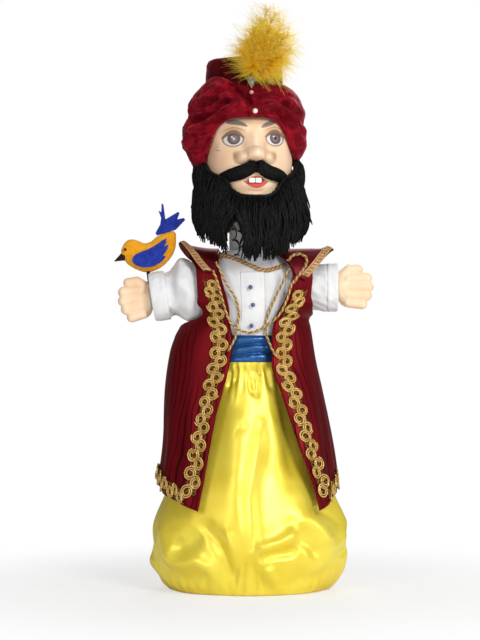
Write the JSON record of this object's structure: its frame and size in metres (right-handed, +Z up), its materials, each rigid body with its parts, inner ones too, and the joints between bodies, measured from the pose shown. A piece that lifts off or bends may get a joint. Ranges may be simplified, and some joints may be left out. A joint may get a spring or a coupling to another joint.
{
  "type": "hand puppet",
  "caption": "Glove puppet of a turbaned, bearded man in a long coat and balloon skirt, with a stuffed bird on one hand; it bows, nods, turns its head and swings its arms.",
  "frame": {"origin": "centre of the round hand opening under the skirt, at the level of the floor it stands on", "axes": "+Z up from the floor to the plume, -Y the way the puppet faces, +X to the viewer's right"},
  "size_m": [0.2737, 0.1669, 0.603],
  "materials": {
    "yellow_satin": "satin",
    "lining_cotton": "plain weave",
    "blue_satin": "satin",
    "coat_satin": "moire satin",
    "gold_braid": "metallic thread",
    "shirt_cotton": "plain weave",
    "button_bead": "polished",
    "tie_cord": "twisted cotton",
    "skin": "airbrushed",
    "tube_card": "plain",
    "tooth_white": "painted",
    "black_yarn": "loose yarn",
    "crown_velvet": "velvet",
    "wrap_velvet": "crushed velvet",
    "feather": "down",
    "quill": "matt",
    "silver_setting": "polished",
    "grey_stone": "faceted",
    "pink_bead": "polished",
    "pearl": "pearly",
    "gold_bead": "polished",
    "orange_felt": "felt",
    "blue_felt": "felt",
    "brown_felt": "felt",
    "dark_bead": "polished",
    "black_felt": "felt"
  },
  "bodies": {
    "skirt": {"skirt_satin": "yellow_satin", "skirt_lining": "lining_cotton", "hem_band": "lining_cotton", "sash": "blue_satin", "coat_left_skirt": "coat_satin", "coat_right_skirt": "coat_satin", "coat_back_skirt": "coat_satin", "left_braid_skirt": "gold_braid", "right_braid_skirt": "gold_braid", "left_hem_braid": "gold_braid", "right_hem_braid": "gold_braid", "left_cord_end": "gold_braid", "right_cord_end": "gold_braid"},
    "torso": {"shirt_body": "shirt_cotton", "shirt_placket": "shirt_cotton", "shirt_buttons": "button_bead", "neckline_braid": "gold_braid", "coat_left_front": "coat_satin", "coat_right_front": "coat_satin", "coat_back": "coat_satin", "left_braid": "gold_braid", "right_braid": "gold_braid", "collar": "coat_satin", "collar_braid": "gold_braid", "left_cord": "gold_braid", "right_cord": "gold_braid", "swag_cord": "gold_braid", "left_upper_sleeve": "shirt_cotton", "right_upper_sleeve": "shirt_cotton"},
    "neck": {"neck_band": "shirt_cotton", "neck_tie": "tie_cord"},
    "head": {"head": "skin", "neck_tube": "tube_card", "teeth": "tooth_white", "moustache": "black_yarn", "beard": "black_yarn", "hair": "black_yarn", "turban_crown": "crown_velvet", "turban_wrap": "wrap_velvet", "plume": "feather", "plume_quill": "quill", "brooch_setting": "silver_setting", "brooch_stone": "grey_stone", "brooch_drop": "pink_bead", "turban_pearl": "pearl", "turban_bead": "gold_bead"},
    "left_arm": {"left_sleeve": "shirt_cotton", "left_cuff": "shirt_cotton", "left_hand": "skin", "left_socket": "tube_card", "bird_body": "orange_felt", "bird_wings": "blue_felt", "bird_tail": "blue_felt", "bird_beak": "brown_felt", "bird_eyes": "dark_bead", "bird_leg": "black_felt"},
    "right_arm": {"right_sleeve": "shirt_cotton", "right_cuff": "shirt_cotton", "right_hand": "skin", "right_socket": "tube_card"}
  },
  "joints": [
    {"name": "waist_bow", "type": "hinge", "parent": "skirt", "child": "torso", "pos_m": [0, -0.0505, 0.267], "axis": [1, 0, 0], "range_deg": [0, 25]},
    {"name": "head_nod", "type": "hinge", "parent": "torso", "child": "neck", "pos_m": [0, 0, 0.352], "axis": [1, 0, 0], "range_deg": [-10, 10]},
    {"name": "head_turn", "type": "hinge", "parent": "neck", "child": "head", "pos_m": [0, 0, 0.38], "axis": [0, 0, 1], "range_deg": [-25, 15]},
    {"name": "left_arm_swing", "type": "hinge", "parent": "torso", "child": "left_arm", "pos_m": [-0.07896, -0.0265, 0.3104], "axis": [-0.1616, 0, 0.9869], "range_deg": [0, 60]},
    {"name": "right_arm_swing", "type": "hinge", "parent": "torso", "child": "right_arm", "pos_m": [0.07025, -0.0265, 0.317], "axis": [0, 0, -1], "range_deg": [0, 60]}
  ]
}
